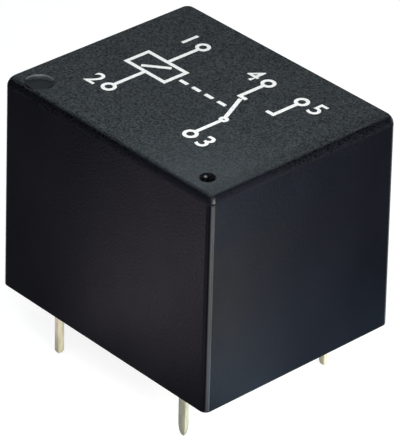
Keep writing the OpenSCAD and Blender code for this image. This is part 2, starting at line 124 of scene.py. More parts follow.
floor_z = solid_box[0].z
bpy.ops.mesh.primitive_circle_add(vertices=96, radius=0.6, fill_type="NGON", location=(0, 0, floor_z))
floor = bpy.context.object
floor.name = "table"
table_paint = bpy.data.materials.new("pale table paint")
table_paint.use_nodes = True
tree = table_paint.node_tree
paint = tree.nodes["Principled BSDF"]
paint.inputs["Base Color"].default_value = (0.4, 0.4, 0.4, 1)
paint.inputs["Roughness"].default_value = 0.9
paint.inputs["Specular IOR Level"].default_value = 0.0
paint.inputs["Emission Color"].default_value = (1, 1, 1, 1)
glow = tree.nodes.new("ShaderNodeMath")
glow.operation = "MULTIPLY"
glow.inputs[1].default_value = 0.8
tree.links.new(seen_by_eye(tree), glow.inputs[0])
tree.links.new(glow.outputs[0], paint.inputs["Emission Strength"])
floor.data.materials.append(table_paint)
floor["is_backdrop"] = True

world = bpy.data.worlds.new("white room")
bpy.context.scene.world = world
world.use_nodes = True
tree = world.node_tree
room_light = tree.nodes["Background"]
room_light.inputs["Color"].default_value = (0.93, 0.96, 1.0, 1)
room_light.inputs["Strength"].default_value = 0.3
white = tree.nodes.new("ShaderNodeBackground")
white.inputs["Color"].default_value = (1, 1, 1, 1)
choose = tree.nodes.new("ShaderNodeMixShader")
tree.links.new(seen_by_eye(tree), choose.inputs[0])
tree.links.new(room_light.outputs[0], choose.inputs[1])
tree.links.new(white.outputs[0], choose.inputs[2])
tree.links.new(choose.outputs[0], tree.nodes["World Output"].inputs["Surface"])
bpy.context.scene.view_settings.view_transform = "Standard"
print("table at", round(floor_z / mm, 2), "mm")

# %% [markdown]
# ## Lamps
# A black case shows its lamps more than its colour. The large soft lamp overhead lights the top and gives
# the shade on the table. A second lamp at the right makes the glint on the front corner, and a low one
# behind it shines in under the case, on one side of the pins. The rest are lit cards that lie on the table,
# unseen by the camera: it looks down, so the upright walls mirror the table, and the cards draw the bright
# line on the front edge and the soft light patches on the walls. Two wide, weak ones do the same for the
# back. A sun lamp would give none of that, so all of them are area lamps.

# %% Three lamps and the cards
def soft_lamp(name, place, turn, size, power, colour):
    """Adds a flat lamp at a place (mm), turned by three angles in degrees; unturned it shines down."""
    bpy.ops.object.light_add(
        type="AREA", location=Vector(place) * mm, rotation=[math.radians(angle) for angle in turn],
    )
    lamp = bpy.context.object
    lamp.name = name
    lamp.data.shape = "RECTANGLE"
    lamp.data.size, lamp.data.size_y = size[0] * mm, size[1] * mm
    lamp.data.energy = power
    lamp.data.color = colour
    lamp.visible_camera = False
    print(name, "at", place, "mm,", power, "W")


card_z = floor_z / mm + 0.15
soft_lamp("overhead_lamp", (16, -26, 55), (33, 22, 0), (42, 42), 0.026, (0.95, 1, 1))
soft_lamp("side_lamp", (70.2, -14.1, 25), (5.9, 78.9, 0), (36, 36), 0.068, (1, 0.98, 0.92))
soft_lamp("low_lamp", (80, -3, 0.8), (0, 90, 0), (10, 60), 0.066, (1, 1, 0.98))
soft_lamp("edge_card_far", (39, -19, card_z), (180, 0, -21), (25.5, 10), 0.0098, (0.95, 0.97, 1))
soft_lamp("edge_card_near", (21.9, -12.4, card_z), (180, 0, -21), (11, 2.5), 0.0013, (0.95, 0.97, 1))
soft_lamp("right_card_far", (39.9, 19.2, card_z), (180, 0, 42.4), (40, 10), 0.0365, (0.47, 0.68, 1))
soft_lamp("right_card_near", (19.6, 0.7, card_z), (180, 0, 42.4), (15, 10), 0.0084, (0.5, 0.7, 0.9))
soft_lamp("right_card_edge", (31.8, 10.2, card_z), (180, 0, 42.4), (28, 6), 0.026, (1, 0.62, 0.1))
soft_lamp("right_card_low", (13.5, 8, card_z), (180, 0, 0), (5, 15), 0.0014, (0.42, 0.66, 1))
soft_lamp("left_card", (-12.75, -26.25, card_z), (180, 0, 46.5), (27, 10.5), 0.0104, (1, 0.85, 1))
soft_lamp("left_card_low", (-1.5, -15.5, card_z), (180, 0, 46.5), (6, 5), 0.0004, (1, 0.85, 1))
soft_lamp("front_card", (8.5, -30, card_z), (180, 0, 0), (9, 24), 0.0105, (1, 0.9, 1))
soft_lamp("back_card_left", (-42, 14, card_z), (180, 0, 0), (60, 44), 0.032, (0.8, 0.9, 1))
soft_lamp("back_card_right", (-24, 42, card_z), (180, 0, 0), (30, 60), 0.022, (0.8, 0.9, 1))

# %% [markdown]
# ## Tools for the bench
# Six small helpers are used again and again. One opens a block in edit mode at its true size and place,
# as the modelling operators expect. One selects corners, edges or faces by where they are, because there
# is no mouse here. One draws the selected faces on and scales them, which is how the round forms are made,
# and one cuts an angle into the steps for it. One joins pieces. The last one leaves edit mode, smooths what
# is round, ties the piece to the body it moves with and hides the solid it stands for.

# %% Block and pick
def start_block(name, low, high):
    """Adds a block between two corners (mm) and opens it in edit mode."""
    bpy.ops.mesh.primitive_cube_add(size=1, location=[(a + b) / 2 * mm for a, b in zip(low, high)])
    block = bpy.context.object
    block.name = name
    block.scale = [(b - a) * mm for a, b in zip(low, high)]
    bpy.ops.object.transform_apply()
    bpy.ops.object.mode_set(mode="EDIT")
    return block


def pick(piece, kind, wanted):
    """Selects only the corners, edges or faces whose place (mm) passes a test."""
    bpy.ops.mesh.select_mode(type=kind)
    bpy.ops.mesh.select_all(action="DESELECT")
    mesh = bmesh.from_edit_mesh(piece.data)
    if kind == "VERT":
        parts = [(corner, corner.co) for corner in mesh.verts]
    elif kind == "EDGE":
        parts = [(edge, (edge.verts[0].co + edge.verts[1].co) / 2) for edge in mesh.edges]
    else:
        parts = [(face, face.calc_center_median()) for face in mesh.faces]
    chosen = [part for part, place in parts if wanted(place / mm, part)]
    for part in chosen:
        part.select_set(True)
    mesh.select_flush_mode()
    bmesh.update_edit_mesh(piece.data)
    return len(chosen)


print("block and pick ready")

# %% Steps, draw on, join and settle
def arc_steps(turn, steps):
    """Cuts an angle (degrees) into equal steps and gives the two angles (radians) of each."""
    angles = [math.radians(turn) * step / steps for step in range(steps + 1)]
    return zip(angles, angles[1:])


def draw_on(rise, share_x, share_y, x=0, y=0):
    """Draws the selected faces up by a rise (mm) and scales them about an upright line."""
    bpy.ops.mesh.extrude_region_move(TRANSFORM_OT_translate={"value": (0, 0, rise * mm)})
    bpy.ops.transform.resize(value=(share_x, share_y, 1), center_override=(x * mm, y * mm, 0))


def join_pieces(pieces):
    """Joins pieces to the first of them."""
    bpy.ops.object.select_all(action="DESELECT")
    for piece in pieces:
        piece.select_set(True)
    bpy.context.view_layer.objects.active = pieces[0]
    bpy.ops.object.join()
    return pieces[0]


def settle(piece, body, slot, *solids):
    """Smooths a finished piece, ties it to its body and hides the solids it stands for; slot is not used."""
    bpy.ops.object.mode_set(mode="OBJECT")
    bpy.ops.object.shade_smooth_by_angle(angle=math.radians(35))
    if body:
        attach(piece, body)
    if solids:
        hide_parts(*solids)
    low = [round(min(v.co[i] for v in piece.data.vertices) / mm, 2) for i in range(3)]
    high = [round(max(v.co[i] for v in piece.data.vertices) / mm, 2) for i in range(3)]
    print(piece.name, "has", len(piece.data.polygons), "faces, from", low, "to", high, "mm")


print("steps, draw on, join and settle ready")

# %% [markdown]
# ## Case: the moulded block
# The case is one moulding that leans in a little towards the top, so that it slides out of its mould. Its
# upright edges have a small radius, and the rounding of its top edge is a little higher than wide. It could
# be a box with a Bevel modifier, but a bevel is as high as it is wide, and it would leave the top's corners
# sharp. So a lower block is added, its top face is scaled for the lean, and the four upright edges are
# bevelled. Then the top face is drawn up and scaled in steps along a quarter of an ellipse, which keeps the
# corners round up to the top. The top stands a hundredth of a millimetre low, because the print lies on it.

# %% Model the block
case_l, case_w, case_h = 19.3, 15.6, 15.2
case_draft, case_round, round_h = 0.16, 0.45, 0.7
ink_t = 0.01
case_top = case_h - ink_t
lean = (1 - 2 * case_draft / case_l, 1 - 2 * case_draft / case_w, 1)
case = start_block("case", (-case_l / 2, -case_w / 2, 0), (case_l / 2, case_w / 2, case_top - round_h))
pick(case, "FACE", lambda at, face: face.normal.z > 0.9)
bpy.ops.transform.resize(value=lean, center_override=(0, 0, 0))
rounded = pick(case, "EDGE", lambda at, edge: 0.1 < at.z < case_top - round_h - 0.1)
bpy.ops.mesh.bevel(offset=case_round * mm, segments=8, profile=0.5, affect="EDGES")
pick(case, "FACE", lambda at, face: face.normal.z > 0.9)
round_steps = 8
flat_halves = [side / 2 - case_draft - case_round for side in (case_l, case_w)]
for low, high in arc_steps(90, round_steps):
    inner, outer = case_round * math.cos(high), case_round * math.cos(low)
    shares = [(half + inner) / (half + outer) for half in flat_halves]
    draw_on(round_h * (math.sin(high) - math.sin(low)), *shares)
print("rounded", rounded, "upright edges, and the top edge in", round_steps, "steps")

# %% [markdown]
# ## Case: hollow underside
# From below the case is a shell with a thin rim. A Solidify modifier could give the wall, but the roof is
# thicker than the sides. So the bottom face is inset by the wall and pushed up to the roof, as a mould's
# core would do, and the rim's outer edge is broken a little, as the edge of a moulding is.

# %% Hollow the case
wall, roof = 0.75, 0.9
pick(case, "FACE", lambda at, face: face.normal.z < -0.9)
bpy.ops.mesh.inset(thickness=wall * mm)
bpy.ops.mesh.extrude_region_move(TRANSFORM_OT_translate={"value": (0, 0, (case_h - roof) * mm)})
bpy.ops.transform.resize(value=lean, center_override=(0, 0, (case_h - roof) * mm))
rim_break, near_outside = 0.05, -0.3
rim = pick(case, "EDGE", lambda at, edge: all(v.co.z < 0.01 * mm for v in edge.verts)
           and max(abs(at.x) - case_l / 2, abs(at.y) - case_w / 2) > near_outside)
bpy.ops.mesh.bevel(offset=rim_break * mm, segments=2, profile=0.5, affect="EDGES")
bpy.ops.object.mode_set(mode="OBJECT")
print("broke", rim, "edges of the rim")

# %% [markdown]
# ## Case: ejector mark and vent
# Two round marks are moulded in the top: a shallow dish where a pin of the mould pushed, and a small closed
# vent with a nib at its far wall. They could be drawn as bump, but both are deep enough to show their walls.
# So each is modelled as the tool that would leave it and taken out with a Boolean. The dish's tool has its
# lower edge bevelled into an arc. The vent's tool is flared in steps at the top, which rounds the rim, and
# a hollow with a round end is pushed up into its lower face, which leaves the nib standing.

# %% Tools for round marks
def start_tool(name, x, y, low, high, radius):
    """Adds a round tool that stands upright between two heights (mm), in edit mode."""
    bpy.ops.mesh.primitive_cylinder_add(
        vertices=64, radius=radius * mm, depth=(high - low) * mm,
        location=(x * mm, y * mm, (low + high) / 2 * mm),
    )
    tool = bpy.context.object
    tool.name = name
    bpy.ops.object.transform_apply()
    bpy.ops.object.mode_set(mode="EDIT")
    return tool


def flare(tool, x, y, step, share):
    """Draws the tool's top face up by a step (mm) and scales it."""
    top = max(v.co.z for v in bmesh.from_edit_mesh(tool.data).verts)
    pick(tool, "FACE", lambda at, face: face.normal.z > 0.9 and at.z > top / mm - 0.001)
    draw_on(step, share, share, x, y)


def take_out(piece, tool):
    """Cuts a tool out of a piece and removes the tool."""
    bpy.ops.object.mode_set(mode="OBJECT")
    bpy.ops.object.select_all(action="DESELECT")
    piece.select_set(True)
    bpy.context.view_layer.objects.active = piece
    bpy.ops.object.modifier_add(type="BOOLEAN")
    cut = piece.modifiers[-1]
    cut.operation = "DIFFERENCE"
    cut.solver = "EXACT"
    cut.object = tool
    bpy.ops.object.modifier_apply(modifier=cut.name)
    bpy.data.objects.remove(tool)


print("round tools ready")

# %% Cut the ejector mark
mark_x, mark_y, mark_r, mark_depth, mark_arc = -7.46, -6.50, 0.965, 0.2, 0.45
mark_floor = case_top - mark_depth
mark_floor_r = mark_r - math.sqrt(mark_arc ** 2 - (mark_arc - mark_depth) ** 2)
tool = start_tool("mark_tool", mark_x, mark_y, mark_floor, mark_floor + 2 * mark_arc, mark_floor_r + mark_arc)
pick(tool, "EDGE", lambda at, edge: all(v.co.z < (mark_floor + 0.01) * mm for v in edge.verts))
bpy.ops.mesh.bevel(offset=mark_arc * mm, segments=12, profile=0.5, affect="EDGES")
take_out(case, tool)
print("mark cut", mark_depth, "mm deep")

# %% Cut the vent round its nib
vent_x, vent_y, vent_r, vent_depth, vent_bevel = 7.65, -6.25, 0.41, 0.5, 0.17
vent_floor = case_top - vent_depth
tool = start_tool("vent_tool", vent_x, vent_y, vent_floor, case_top - vent_bevel, vent_r)
for low, high in arc_steps(90, 6):
    inner, outer = [vent_r + vent_bevel * (1 - math.cos(angle)) for angle in (low, high)]
    flare(tool, vent_x, vent_y, vent_bevel * (math.sin(high) - math.sin(low)), outer / inner)
past_top, past_share = 0.1, 1.3
flare(tool, vent_x, vent_y, past_top, past_share)
nib_x, nib_y, nib_r, nib_top = vent_x - 0.27, vent_y + 0.08, 0.12, case_top - 0.01
pick(tool, "FACE", lambda at, face: face.normal.z < -0.9 and at.z < vent_floor + 0.01)
bpy.ops.mesh.inset(thickness=(vent_r - nib_r) * mm)
bpy.ops.transform.translate(value=((nib_x - vent_x) * mm, (nib_y - vent_y) * mm, 0))
nib_stem = nib_top - nib_r - vent_floor
bpy.ops.mesh.extrude_region_move(TRANSFORM_OT_translate={"value": (0, 0, nib_stem * mm)})
nib_angles = [math.radians(angle) for angle in (0, 18, 36, 54, 72, 84)]
for low, high in zip(nib_angles, nib_angles[1:]):
    share = math.cos(high) / math.cos(low)
    draw_on(nib_r * (math.sin(high) - math.sin(low)), share, share, nib_x, nib_y)
take_out(case, tool)
print("case has", len(case.data.polygons), "faces with both marks cut")

# %% [markdown]
# ## Case: even shading
# A large flat face next to a rounding is easily shaded as if it bulged, because the corners they share
# have a normal between the two. More edge loops would help, but the Weighted Normal modifier is made for
# this: it lets the large face decide.

# %% Even out the shading
settle(case, "frame", "case_plastic", "cover")
bpy.ops.object.modifier_add(type="WEIGHTED_NORMAL")
even = case.modifiers[-1]
even.keep_sharp = True
even.weight = 90
bpy.ops.object.modifier_apply(modifier=even.name)
print("case normals evened")

# %% [markdown]
# ## Finishes: how they are built
# Every finish here is a Principled shader whose colour, roughness and relief are led by noise. The noise
# reads the piece's own coordinates, in metres, so a grain has its true pitch: a pitch of a tenth of a
# millimetre is a noise scale of ten thousand. Six helpers keep the cells short: one starts a finish, one
# makes a noise of a given pitch, one spreads it over a number or a colour, one does both at once, one turns
# it into relief, and one gives a piece its finishes.

# %% Helpers for finishes
def start_finish(name, colour, roughness, metallic=0.0, specular=0.5):
    """Starts a finish with the values that are the same all over it."""
    finish = bpy.data.materials.new(name)
    finish.use_nodes = True
    shader = finish.node_tree.nodes["Principled BSDF"]
    shader.inputs["Base Color"].default_value = (*colour, 1)
    shader.inputs["Roughness"].default_value = roughness
    shader.inputs["Metallic"].default_value = metallic
    shader.inputs["Specular IOR Level"].default_value = specular
    return finish, shader


def noise(finish, pitch, stretch=(1, 1, 1), detail=2.0):
    """Makes a noise whose blots are about one pitch (mm) wide, drawn out where stretch is small."""
    nodes, links = finish.node_tree.nodes, finish.node_tree.links
    place = nodes.new("ShaderNodeTexCoord")
    drawn = nodes.new("ShaderNodeMapping")
    drawn.inputs["Scale"].default_value = stretch
    blots = nodes.new("ShaderNodeTexNoise")
    blots.inputs["Scale"].default_value = 1 / (pitch * mm)
    blots.inputs["Detail"].default_value = detail
    links.new(place.outputs["Object"], drawn.inputs["Vector"])
    links.new(drawn.outputs["Vector"], blots.inputs["Vector"])
    return blots.outputs[0]


def spread(finish, source, socket, low, high, start=0.35, end=0.65):
    """Spreads a noise over a range of numbers, or between two colours, and leads it to a socket."""
    nodes, links = finish.node_tree.nodes, finish.node_tree.links
    span = nodes.new("ShaderNodeMapRange")
    span.inputs["From Min"].default_value = start
    span.inputs["From Max"].default_value = end
    links.new(source, span.inputs["Value"])
    if isinstance(low, tuple):
        blend = nodes.new("ShaderNodeMix")
        blend.data_type = "RGBA"
        blend.inputs[6].default_value = (*low, 1)
        blend.inputs[7].default_value = (*high, 1)
        links.new(span.outputs[0], blend.inputs[0])
        links.new(blend.outputs[2], socket)
    else:
        span.inputs["To Min"].default_value = low
        span.inputs["To Max"].default_value = high
        links.new(span.outputs[0], socket)


def mottle(finish, source, shader, dark, light, least, most):
    """Leads one noise to the colour and to the roughness of a finish."""
    spread(finish, source, shader.inputs["Base Color"], dark, light)
    spread(finish, source, shader.inputs["Roughness"], least, most)


def relief(finish, source, shader, depth):
    """Turns a noise into relief of about the given depth (mm)."""
    bump = finish.node_tree.nodes.new("ShaderNodeBump")
    bump.inputs["Strength"].default_value = 1.0
    bump.inputs["Distance"].default_value = depth * mm
    finish.node_tree.links.new(source, bump.inputs["Height"])
    finish.node_tree.links.new(bump.outputs["Normal"], shader.inputs["Normal"])


def coat(piece, *finishes):
    """Gives a piece its finishes in place of those it had."""
    piece.data.materials.clear()
    for finish in finishes:
        piece.data.materials.append(finish)


print("finish helpers ready")

# %% [markdown]
# ## Case: seven finishes of one plastic
# The whole case is one black plastic, but its mould was finished in different ways. The top is
# spark-eroded, which leaves a fine matt grain that catches the light of the room; round the top edge the
# grain runs out, and its colour there is darker, which is partly painted shade. The walls are polished to a
# satin with faint cloudy flow marks, and the upright edges and corners shine a little more. The floor of the
# ejector mark is smooth and its far side is burnished where it rubs on the pin; that far rim, and the nib,
# get a lighter grey that is a painted highlight. The vent and the near side of the mark stay matt. One
# material with masks could do it all, but plain materials are easier to read. Only the grain needs masks:
# it fades with the way the surface faces, sooner over the short edges, which is partly painted shade; it is
# darker along the short edge by the vent, as painted shade; and round the front corner its relief is
# flattened and its colour made lighter, as a painted pool of light.

# %% Grain that runs out over the edge, with painted shade and light
grained, shader = start_finish("grained black moulding", (0.025, 0.029, 0.032), 0.55, specular=0.01)
nodes, links = grained.node_tree.nodes, grained.node_tree.links
place = nodes.new("ShaderNodeTexCoord")


def vector_sum(operation, source, other=(0, 0, 0)):
    """Adds a vector sum to the grain's nodes and returns its outputs."""
    result = nodes.new("ShaderNodeVectorMath")
    result.operation = operation
    result.inputs[1].default_value = other
    links.new(source, result.inputs[0])
    return result.outputs


# Painted light: round the front corner the grain is blended towards a lighter tone, which also flattens its
# relief.
front_corner, worn_lit_r, worn_lit_end_r, worn_lit_tone = Vector((9.4, -7.6, 15.2)), 3.0, 8.5, 0.64
from_corner = vector_sum("DISTANCE", place.outputs["Object"], front_corner * mm)["Value"]
wear_and_painted_light = nodes.new("ShaderNodeMix")
spread(grained, from_corner, wear_and_painted_light.inputs[0], 0.5, 0.0, worn_lit_r * mm, worn_lit_end_r * mm)
links.new(noise(grained, 0.12, detail=3.0), wear_and_painted_light.inputs[2])
wear_and_painted_light.inputs[3].default_value = worn_lit_tone
grain = wear_and_painted_light.outputs[0]

# The grain runs out by the way the surface faces, sooner over the short edges; the darker colour is partly
# painted shade.
flat_top, rounding_side = 0.97, 0.49
# Painted shade: the grain is darker along the short edge by the vent.
painted_shade_start, painted_shade_end, painted_shade_share = 8.2, 9.1, 0.72
either_side = vector_sum("ABSOLUTE", place.outputs["Normal"])["Vector"]
facing = vector_sum("DOT_PRODUCT", either_side, (-0.22, -0.11, 1))["Value"]
along = vector_sum("DOT_PRODUCT", place.outputs["Object"], (1, 0, 0))["Value"]
fade_and_shade = nodes.new("ShaderNodeMath")
fade_and_shade.operation = "MULTIPLY"
spread(grained, facing, fade_and_shade.inputs[0], 0.0, 1.0, rounding_side, flat_top)
spread(grained, along, fade_and_shade.inputs[1], 1.0, painted_shade_share, painted_shade_start * mm, painted_shade_end * mm)
run_out_and_shade = nodes.new("ShaderNodeMix")
run_out_and_shade.data_type = "RGBA"
links.new(fade_and_shade.outputs[0], run_out_and_shade.inputs[0])
spread(grained, grain, run_out_and_shade.inputs[6], (0.0001, 0.0001, 0.0004), (0.0037, 0.0042, 0.0062), 0.38, 0.62)
spread(grained, grain, run_out_and_shade.inputs[7], (0.006, 0.007, 0.008), (0.056, 0.064, 0.071), 0.3, 0.7)
links.new(run_out_and_shade.outputs[2], shader.inputs["Base Color"])
spread(grained, noise(grained, 2.5), shader.inputs["Roughness"], 0.5, 0.6)
relief(grained, grain, shader, 0.018)
print("grain fades between", flat_top, "on the flat top and", rounding_side, "on the rounding")

# %% Satin wall, bright edge and the finishes of the marks
satin, shader = start_finish("satin black wall", (0.0008, 0.001, 0.0018), 0.36, specular=0.010)
cloud = noise(satin, 3.5, stretch=(1, 1, 0.5))
spread(satin, cloud, shader.inputs["Base Color"], (0.0005, 0.0007, 0.0014), (0.0011, 0.0013, 0.0023))
spread(satin, noise(satin, 3.0), shader.inputs["Roughness"], 0.35, 0.38)
relief(satin, noise(satin, 0.16, detail=3.0), shader, 0.02)

bright, shader = start_finish("bright upright edge", (0.002, 0.0022, 0.0028), 0.35, specular=0.14)
rub = noise(bright, 0.5, stretch=(1, 1, 0.2))
mottle(bright, rub, shader, (0.0015, 0.0017, 0.0022), (0.0028, 0.0030, 0.0036), 0.32, 0.38)
relief(bright, noise(bright, 0.35), shader, 0.001)

smooth, shader = start_finish("smooth black mark", (0.006, 0.009, 0.011), 0.35, specular=0.045)
turned = noise(smooth, 0.3)
mottle(smooth, turned, shader, (0.005, 0.008, 0.010), (0.008, 0.011, 0.013), 0.3, 0.4)
relief(smooth, noise(smooth, 0.08), shader, 0.001)

burnished, shader = start_finish("burnished black plastic", (0.004, 0.006, 0.008), 0.4, specular=0.3)
streak = noise(burnished, 0.2, stretch=(1, 1, 0.3))
mottle(burnished, streak, shader, (0.003, 0.005, 0.007), (0.005, 0.007, 0.009), 0.36, 0.44)
relief(burnished, noise(burnished, 0.1), shader, 0.001)

# Painted highlight: a lighter grey for the far rim of the mark and for the vent's nib.
painted_highlight, shader = start_finish("grey rim with painted highlight", (0.06, 0.064, 0.066), 0.45, specular=0.3)
highlight_mottle = noise(painted_highlight, 0.15, detail=3.0)
mottle(painted_highlight, highlight_mottle, shader, (0.048, 0.052, 0.054), (0.072, 0.076, 0.078), 0.4, 0.5)
relief(painted_highlight, highlight_mottle, shader, 0.002)

matt, shader = start_finish("matt black recess", (0.003, 0.003, 0.004), 0.6, specular=0.0)
dull = noise(matt, 0.15)
mottle(matt, dull, shader, (0.004, 0.004, 0.005), (0.008, 0.008, 0.009), 0.55, 0.7)
relief(matt, dull, shader, 0.003)
print("six more finishes ready")

# %% Give the faces their finishes
coat(case, satin, bright, grained, smooth, burnished, painted_highlight, matt)
bpy.ops.object.mode_set(mode="EDIT")


def within(at, x, y, radius):
    """True where a place is inside an upright round of a radius (mm)."""
    return math.hypot(at.x - x, at.y - y) < radius


def in_mark(at):
    """True for the ejector mark's floor and side."""
    return within(at, mark_x, mark_y, mark_r) and mark_floor - 0.05 < at.z < case_top - 0.002


def in_vent(at):
    """True for the vent's bevel, wall, floor and nib."""
    return within(at, vent_x, vent_y, vent_r + vent_bevel) and vent_floor - 0.05 < at.z < case_top - 0.002


def to_front(face):
    """How far a face turns towards the front corner of the case."""
    return face.normal.x - face.normal.y


counts = []
for index, test in (
    (0, lambda at, face: True),
    (1, lambda at, face: at.z > 0 and 0.2 < abs(face.normal.y) < abs(face.normal.x)
     and at.x * face.normal.x > 0),
    (2, lambda at, face: at.z > case_top - round_h and face.normal.z > 0.02),
    (1, lambda at, face: at.z > case_top - round_h and min(abs(value) for value in face.normal) > 0.15
     and face.normal.z < 0.6 and abs(face.normal.x) > abs(face.normal.y)),
    (6, lambda at, face: in_vent(at)),
    (2, lambda at, face: in_vent(at) and face.normal.z > 0.75 and at.z > case_top - vent_bevel
     and to_front(face) < 0.15),
    # The nib's top takes the lighter grey of a painted highlight.
    (5, lambda at, face: in_vent(at) and at.z > nib_top - nib_r * 0.8 and within(at, nib_x, nib_y, nib_r)),
    (3, lambda at, face: in_mark(at)),
    (4, lambda at, face: in_mark(at) and to_front(face) > 0.4),
    # The far rim of the mark takes the same painted highlight.
    (5, lambda at, face: in_mark(at) and to_front(face) > 0.4 and face.normal.z < 0.72),
    (6, lambda at, face: in_mark(at) and to_front(face) < -0.1),
):
    counts.append(pick(case, "FACE", test))
    case.active_material_index = index
    bpy.ops.object.material_slot_assign()
bpy.ops.object.mode_set(mode="OBJECT")
print("faces: all, edges, top, corners; vent, its rim and nib; mark, its side, rim and near side:", counts)

# %% [markdown]
# ## Print on the top
# The real case carries white print. What stands here is a plain wiring sketch of any such relay: the coil
# with its two ends, and the changeover contact, with the pins numbered 1 to 5. An image texture would be
# quick, but it blurs and needs a file. So the ink is modelled: flat bars, frames, rings and numerals are
# laid on the top and given the thickness of a coat of ink with a Solidify modifier.

# %% Lay out the ink
ink_z = case_top - 0.002
line = 0.27
ink_pieces = []


def start_ink(x, y, length, width, turn=0):
    """Opens a flat rectangle (mm) in edit mode with all of it selected."""
    bpy.ops.mesh.primitive_plane_add(size=1, location=(x * mm, y * mm, ink_z * mm), rotation=(0, 0, turn))
    bpy.context.object.scale = (length * mm, width * mm, 1)
    bpy.ops.object.transform_apply()
    bpy.ops.object.mode_set(mode="EDIT")
    bpy.ops.mesh.select_all(action="SELECT")


def keep_ink():
    """Ends the edit of a flat shape and keeps it for joining."""
    bpy.ops.object.mode_set(mode="OBJECT")
    bpy.ops.object.transform_apply()
    ink_pieces.append(bpy.context.object)


def ink_bar(start, end):
    """Lays a bar between two points (mm), with its corners slightly rounded."""
    run = Vector(end) - Vector(start)
    middle = (Vector(end) + Vector(start)) / 2
    start_ink(middle.x, middle.y, run.length, line, math.atan2(run.y, run.x))
    bpy.ops.mesh.bevel(offset=0.12 * line * mm, segments=3, affect="VERTICES")
    keep_ink()


def ink_frame(x, y, length, width):
    """Lays a rectangle's outline."""
    start_ink(x, y, length, width)
    bpy.ops.mesh.inset(thickness=line * mm)
    bpy.ops.mesh.delete(type="FACE")
    keep_ink()


def ink_ring(x, y, radius):
    """Lays a ring for a pin."""
    bpy.ops.mesh.primitive_circle_add(
        vertices=40, radius=radius * mm, fill_type="NGON", location=(x * mm, y * mm, ink_z * mm),
    )
    bpy.ops.object.mode_set(mode="EDIT")
    bpy.ops.mesh.select_all(action="SELECT")
    bpy.ops.mesh.inset(thickness=line * 0.9 * mm)
    bpy.ops.mesh.delete(type="FACE")
    keep_ink()


def ink_numeral(digit, x, y, size):
    """Lays a plain numeral, made a mesh before its place is applied."""
    bpy.ops.object.text_add(location=(x * mm, y * mm, ink_z * mm))
    numeral = bpy.context.object
    numeral.data.body = digit
    numeral.data.size = size * mm
    numeral.data.offset = 0.02 * mm
    numeral.data.align_x = "CENTER"
    numeral.data.align_y = "CENTER"
    bpy.ops.object.convert(target="MESH")
    keep_ink()


print("ink tools ready")

# %% Draw the wiring sketch
coil_x, rest_x, make_x, swing_x = -4.3, 1.7, 4.7, 3.2
ring_top, ring_low, ring_r, pivot_y, pivot_r = 4.2, -3.6, 0.5, -0.9, 0.32
coil_y, box_l, box_h = 0.3, 3.8, 2.1
foot_y, foot_l = 1.8, 0.6
ink_frame(coil_x, coil_y, box_l, box_h)
ink_bar((coil_x - 0.75, coil_y - 0.6), (coil_x + 0.75, coil_y + 0.6))
ink_bar((coil_x, coil_y + box_h / 2), (coil_x, ring_top - ring_r))
ink_bar((coil_x, coil_y - box_h / 2), (coil_x, ring_low + ring_r))
for x, inward in ((rest_x, 1), (make_x, -1)):
    ink_bar((x, ring_top - ring_r), (x, foot_y + line / 2))
    ink_bar((x - inward * line / 2, foot_y), (x + inward * foot_l, foot_y))
ink_bar((swing_x, pivot_y - pivot_r), (swing_x, ring_low + ring_r))
ink_ring(swing_x, pivot_y, pivot_r)
pivot, swing_tip = Vector((swing_x, pivot_y)), Vector((rest_x + 0.3, foot_y - 0.22))
ink_bar(pivot + (swing_tip - pivot).normalized() * pivot_r, swing_tip)
dash_x, dash_l, dash_pitch = -2.1, 0.7, 1.15
for dash in range(4):
    start = dash_x + dash * dash_pitch
    ink_bar((start, coil_y), (start + dash_l, coil_y))
numeral_gap, numeral_size = 1.3, 1.9
for digit, x, y, side in (
    ("1", coil_x, ring_top, -1), ("2", coil_x, ring_low, -1), ("3", swing_x, ring_low, 1),
    ("4", rest_x, ring_top, -1), ("5", make_x, ring_top, 1),
):
    ink_ring(x, y, ring_r)
    ink_numeral(digit, x + side * numeral_gap, y, numeral_size)
print("laid", len(ink_pieces), "shapes of ink")

# %% Give the ink its thickness
ink = join_pieces(ink_pieces)
ink.name = "wiring_print"
bpy.ops.object.modifier_add(type="SOLIDIFY")
ink_coat = ink.modifiers[-1]
ink_coat.thickness = (case_h - ink_z) * mm
ink_coat.offset = 1.0
bpy.ops.object.modifier_apply(modifier=ink_coat.name)
white_ink, shader = start_finish("white ink", (0.8, 0.8, 0.79), 0.6, specular=0.3)
dust = noise(white_ink, 0.12, detail=3.0)
spread(white_ink, dust, shader.inputs["Base Color"], (0.62, 0.63, 0.63), (0.84, 0.84, 0.83), 0.3, 0.5)
spread(white_ink, noise(white_ink, 0.5), shader.inputs["Roughness"], 0.5, 0.7)
relief(white_ink, dust, shader, 0.006)
coat(ink, white_ink)
settle(ink, "frame", "case_plastic")

# %% [markdown]
# ## Contact terminals
# Each fixed contact sits on a tab of a tinned strip. The strip stands upright in the base, turns over at
# the top towards the middle, and is cut down to a narrow pin below. As on a bending machine, the strip is
# drawn up, spun round the bend and drawn out as the tab. Below, the strip's end face is cut in three with
# Bisect, and the middle part is drawn down into the pin, whose tip is rounded off in steps. A pin's form is
# kept as four values: the height of its end, the share it narrows to, and its tip's length and turn.

# %% Model the two contact terminals
strip_x, strip_w, strip_t, row_y = 6.05, 3.0, 0.32, 6.0
base_top, bend_r, pin_end = 2.4, 0.35, -4.4
contact_pin_x, contact_pin_w = 5.8, 0.66
make_tab_z, rest_tab_z, past_middle = 10.352, 13.48, 1.6
round_pin = (pin_end, 1, 1.05, 76)
narrow_pin = (pin_end + 0.12, 0.76, 0.35, 55)
stamped_edge = 0.04


